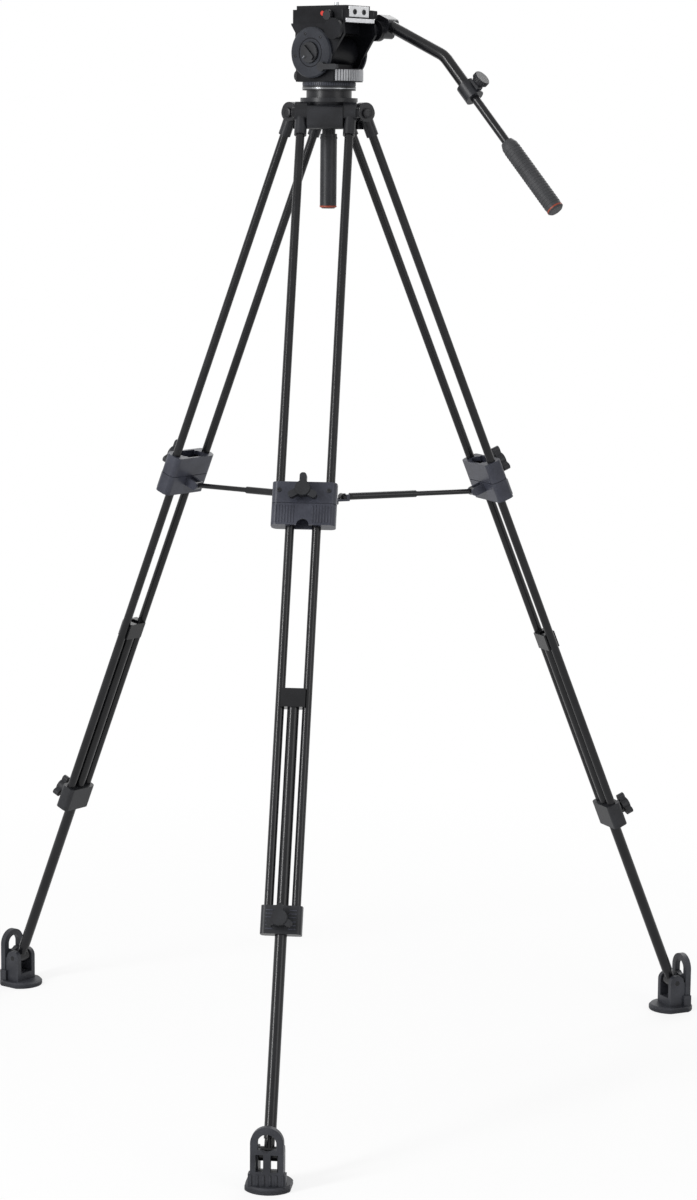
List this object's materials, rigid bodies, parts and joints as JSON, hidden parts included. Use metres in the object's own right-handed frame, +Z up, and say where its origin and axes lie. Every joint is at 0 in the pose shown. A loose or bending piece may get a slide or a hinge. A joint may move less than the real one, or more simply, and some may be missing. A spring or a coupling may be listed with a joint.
{
  "type": "tripod with fluid head",
  "caption": "Standing video tripod: twin-tube telescopic legs, mid-level spreader, levelling bowl and a fluid head with sliding camera plate and pan bar.",
  "frame": {"origin": "on the ground under the tripod's axis", "axes": "+Z up; one leg, the front one, stands along -Y; the head's lens direction is 148.3 degrees round from +X"},
  "size_m": [1.1624, 1.016, 1.618],
  "materials": {
    "tube_black": "satin black anodised tube",
    "casting_black": "fine textured black casting",
    "head_black": "satin black head casting",
    "plate_black": "matt black plate",
    "moulded_slate": "dark slate moulding",
    "moulded_black": "satin black moulding",
    "foot_rubber": "dark grey rubber",
    "grip_rubber": "black grip rubber",
    "steel_bolt": "plated steel",
    "silver_knob": "turned aluminium",
    "red_button": "red moulding"
  },
  "bodies": {
    "crown": {"crown": "casting_black", "hinge_bolts": "casting_black"},
    "hub": {"spreader_hub": "moulded_slate"},
    "ball": {"half_ball": "casting_black"},
    "tie_down": {"tie_down": "moulded_black"},
    "pan_ring": {"pan_drag_ring": "moulded_slate"},
    "pan": {"pan_body": "head_black", "tilt_drag_unit": "steel_bolt"},
    "pan_knob": {"pan_lock_knob": "moulded_black"},
    "tilt": {"tilt_body": "head_black", "left_cover": "moulded_slate", "right_cover": "moulded_slate", "plate_carrier": "head_black"},
    "drag_dial": {"tilt_drag_dial": "moulded_black"},
    "balance": {"balance_dial": "moulded_black"},
    "tilt_lever": {"tilt_lock_lever": "moulded_black"},
    "plate": {"camera_plate": "plate_black"},
    "screw": {"camera_screw": "steel_bolt"},
    "plate_knob": {"plate_lock_knob": "moulded_black"},
    "button": {"safety_button": "red_button"},
    "bar": {"bar_clamp": "casting_black", "pan_bar": "tube_black", "bar_joint": "casting_black"},
    "bar_knob": {"bar_clamp_knob": "silver_knob"},
    "joint_knob": {"bar_joint_knob": "moulded_black"},
    "handle_rod": {"bar_rod": "tube_black", "bar_grip": "grip_rubber"},
    "leg_front": {"leg_lugs_front": "casting_black", "upper_tubes_front": "tube_black", "collar_front": "moulded_slate"},
    "collar_knob_front": {"collar_knob_front": "moulded_black"},
    "middle_front": {"middle_tubes_front": "tube_black", "lower_clamp_front": "moulded_black"},
    "clamp_knob_front": {"clamp_knob_front": "moulded_black"},
    "lower_front": {"lower_tube_front": "tube_black"},
    "foot_front": {"foot_front": "foot_rubber"},
    "arm_rod_front": {"spreader_rod_front": "tube_black"},
    "arm_tube_front": {"spreader_tube_front": "tube_black"},
    "leg_right": {"leg_lugs_right": "casting_black", "upper_tubes_right": "tube_black", "collar_right": "moulded_slate"},
    "collar_knob_right": {"collar_knob_right": "moulded_black"},
    "middle_right": {"middle_tubes_right": "tube_black", "lower_clamp_right": "moulded_black"},
    "clamp_knob_right": {"clamp_knob_right": "moulded_black"},
    "lower_right": {"lower_tube_right": "tube_black"},
    "foot_right": {"foot_right": "foot_rubber"},
    "arm_rod_right": {"spreader_rod_right": "tube_black"},
    "arm_tube_right": {"spreader_tube_right": "tube_black"},
    "leg_left": {"leg_lugs_left": "casting_black", "upper_tubes_left": "tube_black", "collar_left": "moulded_slate"},
    "collar_knob_left": {"collar_knob_left": "moulded_black"},
    "middle_left": {"middle_tubes_left": "tube_black", "lower_clamp_left": "moulded_black"},
    "clamp_knob_left": {"clamp_knob_left": "moulded_black"},
    "lower_left": {"lower_tube_left": "tube_black"},
    "foot_left": {"foot_left": "foot_rubber"},
    "arm_rod_left": {"spreader_rod_left": "tube_black"},
    "arm_tube_left": {"spreader_tube_left": "tube_black"}
  },
  "joints": [
    {"name": "leg_front_fold", "type": "hinge", "parent": "crown", "child": "leg_front", "pos_m": [0, -0.0419, 1.455], "axis": [1, 0, 0], "range_deg": [0, 18]},
    {"name": "middle_front_slide", "type": "slide", "parent": "leg_front", "child": "middle_front", "axis": [0, 0.3859, 0.9225], "range_m": [0, 0.53]},
    {"name": "lower_front_slide", "type": "slide", "parent": "middle_front", "child": "lower_front", "axis": [0, 0.3859, 0.9225], "range_m": [-0.275, 0.23]},
    {"name": "foot_front_pivot", "type": "hinge", "parent": "lower_front", "child": "foot_front", "pos_m": [0, -0.63067, 0.0475], "axis": [1, 0, 0], "range_deg": [-22, 25]},
    {"name": "collar_knob_front_turn", "type": "hinge", "parent": "leg_front", "child": "collar_knob_front", "pos_m": [0, -0.28204, 0.91591], "axis": [0, -0.9225, 0.3859], "range_deg": [0, 180]},
    {"name": "clamp_knob_front_turn", "type": "hinge", "parent": "middle_front", "child": "clamp_knob_front", "pos_m": [0, -0.51857, 0.34659], "axis": [0, -0.9225, 0.3859], "range_deg": [0, 180]},
    {"name": "arm_front_pivot", "type": "hinge", "parent": "leg_front", "child": "arm_rod_front", "pos_m": [0, -0.25194, 0.87514], "axis": [1, 0, 0], "range_deg": [0, 58]},
    {"name": "arm_front_slide", "type": "slide", "parent": "arm_rod_front", "child": "arm_tube_front", "axis": [0, 1, 0], "range_m": [-0.0864, 0]},
    {"name": "leg_right_fold", "type": "hinge", "parent": "crown", "child": "leg_right", "pos_m": [0.03629, 0.02095, 1.455], "axis": [-0.5, 0.866, 0], "range_deg": [0, 18]},
    {"name": "middle_right_slide", "type": "slide", "parent": "leg_right", "child": "middle_right", "axis": [-0.3342, -0.193, 0.9225], "range_m": [0, 0.53]},
    {"name": "lower_right_slide", "type": "slide", "parent": "middle_right", "child": "lower_right", "axis": [-0.3342, -0.193, 0.9225], "range_m": [-0.275, 0.23]},
    {"name": "foot_right_pivot", "type": "hinge", "parent": "lower_right", "child": "foot_right", "pos_m": [0.54618, 0.31533, 0.0475], "axis": [-0.5, 0.866, 0], "range_deg": [-22, 25]},
    {"name": "collar_knob_right_turn", "type": "hinge", "parent": "leg_right", "child": "collar_knob_right", "pos_m": [0.24425, 0.14102, 0.91591], "axis": [0.7989, 0.4613, 0.3859], "range_deg": [0, 180]},
    {"name": "clamp_knob_right_turn", "type": "hinge", "parent": "middle_right", "child": "clamp_knob_right", "pos_m": [0.44909, 0.25928, 0.34659], "axis": [0.7989, 0.4613, 0.3859], "range_deg": [0, 180]},
    {"name": "arm_right_pivot", "type": "hinge", "parent": "leg_right", "child": "arm_rod_right", "pos_m": [0.21819, 0.12597, 0.87514], "axis": [-0.5, 0.866, 0], "range_deg": [0, 58]},
    {"name": "arm_right_slide", "type": "slide", "parent": "arm_rod_right", "child": "arm_tube_right", "axis": [-0.866, -0.5, 0], "range_m": [-0.0864, 0]},
    {"name": "leg_left_fold", "type": "hinge", "parent": "crown", "child": "leg_left", "pos_m": [-0.03629, 0.02095, 1.455], "axis": [-0.5, -0.866, 0], "range_deg": [0, 18]},
    {"name": "middle_left_slide", "type": "slide", "parent": "leg_left", "child": "middle_left", "axis": [0.3342, -0.193, 0.9225], "range_m": [0, 0.53]},
    {"name": "lower_left_slide", "type": "slide", "parent": "middle_left", "child": "lower_left", "axis": [0.3342, -0.193, 0.9225], "range_m": [-0.275, 0.23]},
    {"name": "foot_left_pivot", "type": "hinge", "parent": "lower_left", "child": "foot_left", "pos_m": [-0.54618, 0.31533, 0.0475], "axis": [-0.5, -0.866, 0], "range_deg": [-22, 25]},
    {"name": "collar_knob_left_turn", "type": "hinge", "parent": "leg_left", "child": "collar_knob_left", "pos_m": [-0.24425, 0.14102, 0.91591], "axis": [-0.7989, 0.4613, 0.3859], "range_deg": [0, 180]},
    {"name": "clamp_knob_left_turn", "type": "hinge", "parent": "middle_left", "child": "clamp_knob_left", "pos_m": [-0.44909, 0.25928, 0.34659], "axis": [-0.7989, 0.4613, 0.3859], "range_deg": [0, 180]},
    {"name": "arm_left_pivot", "type": "hinge", "parent": "leg_left", "child": "arm_rod_left", "pos_m": [-0.21819, 0.12597, 0.87514], "axis": [-0.5, -0.866, 0], "range_deg": [0, 58]},
    {"name": "arm_left_slide", "type": "slide", "parent": "arm_rod_left", "child": "arm_tube_left", "axis": [0.866, -0.5, 0], "range_m": [-0.0864, 0]},
    {"name": "hub_rise", "type": "slide", "parent": "crown", "child": "hub", "axis": [0, 0, 1], "range_m": [0, 0.0976]},
    {"name": "ball_level", "type": "hinge", "parent": "crown", "child": "ball", "pos_m": [0, 0, 1.477], "axis": [0.5255, 0.8508, 0], "range_deg": [-10, 10]},
    {"name": "tie_down_turn", "type": "hinge", "parent": "ball", "child": "tie_down", "pos_m": [0, 0, 1.43], "axis": [0, 0, 1], "continuous": true},
    {"name": "pan_ring_turn", "type": "hinge", "parent": "ball", "child": "pan_ring", "pos_m": [0, 0, 1.497], "axis": [0, 0, 1], "range_deg": [0, 270]},
    {"name": "pan", "type": "hinge", "parent": "ball", "child": "pan", "pos_m": [0, 0, 1.51], "axis": [0, 0, 1], "continuous": true},
    {"name": "pan_knob_turn", "type": "hinge", "parent": "pan", "child": "pan_knob", "pos_m": [-0.04254, 0.02627, 1.51], "axis": [-0.8508, 0.5255, 0], "range_deg": [0, 180]},
    {"name": "tilt", "type": "hinge", "parent": "pan", "child": "tilt", "pos_m": [0, 0, 1.543], "axis": [0.5255, 0.8508, 0], "range_deg": [-60, 40]},
    {"name": "drag_dial_turn", "type": "hinge", "parent": "tilt", "child": "drag_dial", "pos_m": [-0.02417, -0.03914, 1.543], "axis": [-0.5255, -0.8508, 0], "range_deg": [0, 270]},
    {"name": "balance_dial_turn", "type": "hinge", "parent": "tilt", "child": "balance", "pos_m": [0.02417, 0.03914, 1.543], "axis": [0.5255, 0.8508, 0], "range_deg": [0, 270]},
    {"name": "tilt_lever_turn", "type": "hinge", "parent": "tilt", "child": "tilt_lever", "pos_m": [-0.00375, -0.05175, 1.522], "axis": [0.5255, 0.8508, 0], "range_deg": [0, 60]},
    {"name": "plate_slide", "type": "slide", "parent": "tilt", "child": "plate", "axis": [-0.8508, 0.5255, 0], "range_m": [-0.03, 0.03]},
    {"name": "screw_turn", "type": "hinge", "parent": "plate", "child": "screw", "pos_m": [0.01106, -0.00683, 1.606], "axis": [0, 0, 1], "continuous": true},
    {"name": "plate_knob_turn", "type": "hinge", "parent": "tilt", "child": "plate_knob", "pos_m": [0.00556, -0.04809, 1.597], "axis": [-0.5255, -0.8508, 0], "range_deg": [0, 180]},
    {"name": "button_press", "type": "slide", "parent": "tilt", "child": "button", "axis": [0.5255, 0.8508, 0], "range_m": [0, 0.002], "stiffness_N_per_m": 400, "springref_m": -0.002},
    {"name": "bar_swing", "type": "hinge", "parent": "tilt", "child": "bar", "pos_m": [0.06836, 0.02125, 1.577], "axis": [-0.5255, -0.8508, 0], "range_deg": [-30, 60]},
    {"name": "bar_knob_turn", "type": "hinge", "parent": "bar", "child": "bar_knob", "pos_m": [0.08413, 0.04677, 1.577], "axis": [0.5255, 0.8508, 0], "range_deg": [0, 180]},
    {"name": "joint_knob_turn", "type": "hinge", "parent": "bar", "child": "joint_knob", "pos_m": [0.22579, -0.05483, 1.49978], "axis": [0.6273, -0.3874, 0.6756], "range_deg": [0, 180]},
    {"name": "handle_slide", "type": "slide", "parent": "bar", "child": "handle_rod", "axis": [0.5748, -0.355, -0.7373], "range_m": [-0.025, 0.02]}
  ],
  "couplings": [
    {"joint": "arm_front_pivot", "follows": "leg_front_fold", "ratio": 3.1963},
    {"joint": "arm_front_slide", "follows": "leg_front_fold", "m_per_rad": -0.27356},
    {"joint": "arm_right_pivot", "follows": "leg_front_fold", "ratio": 3.1963},
    {"joint": "arm_right_slide", "follows": "leg_front_fold", "m_per_rad": -0.27356},
    {"joint": "leg_right_fold", "follows": "leg_front_fold", "ratio": 1},
    {"joint": "arm_left_pivot", "follows": "leg_front_fold", "ratio": 3.1963},
    {"joint": "arm_left_slide", "follows": "leg_front_fold", "m_per_rad": -0.27356},
    {"joint": "leg_left_fold", "follows": "leg_front_fold", "ratio": 1},
    {"joint": "hub_rise", "follows": "leg_front_fold", "m_per_rad": 0.30907}
  ]
}
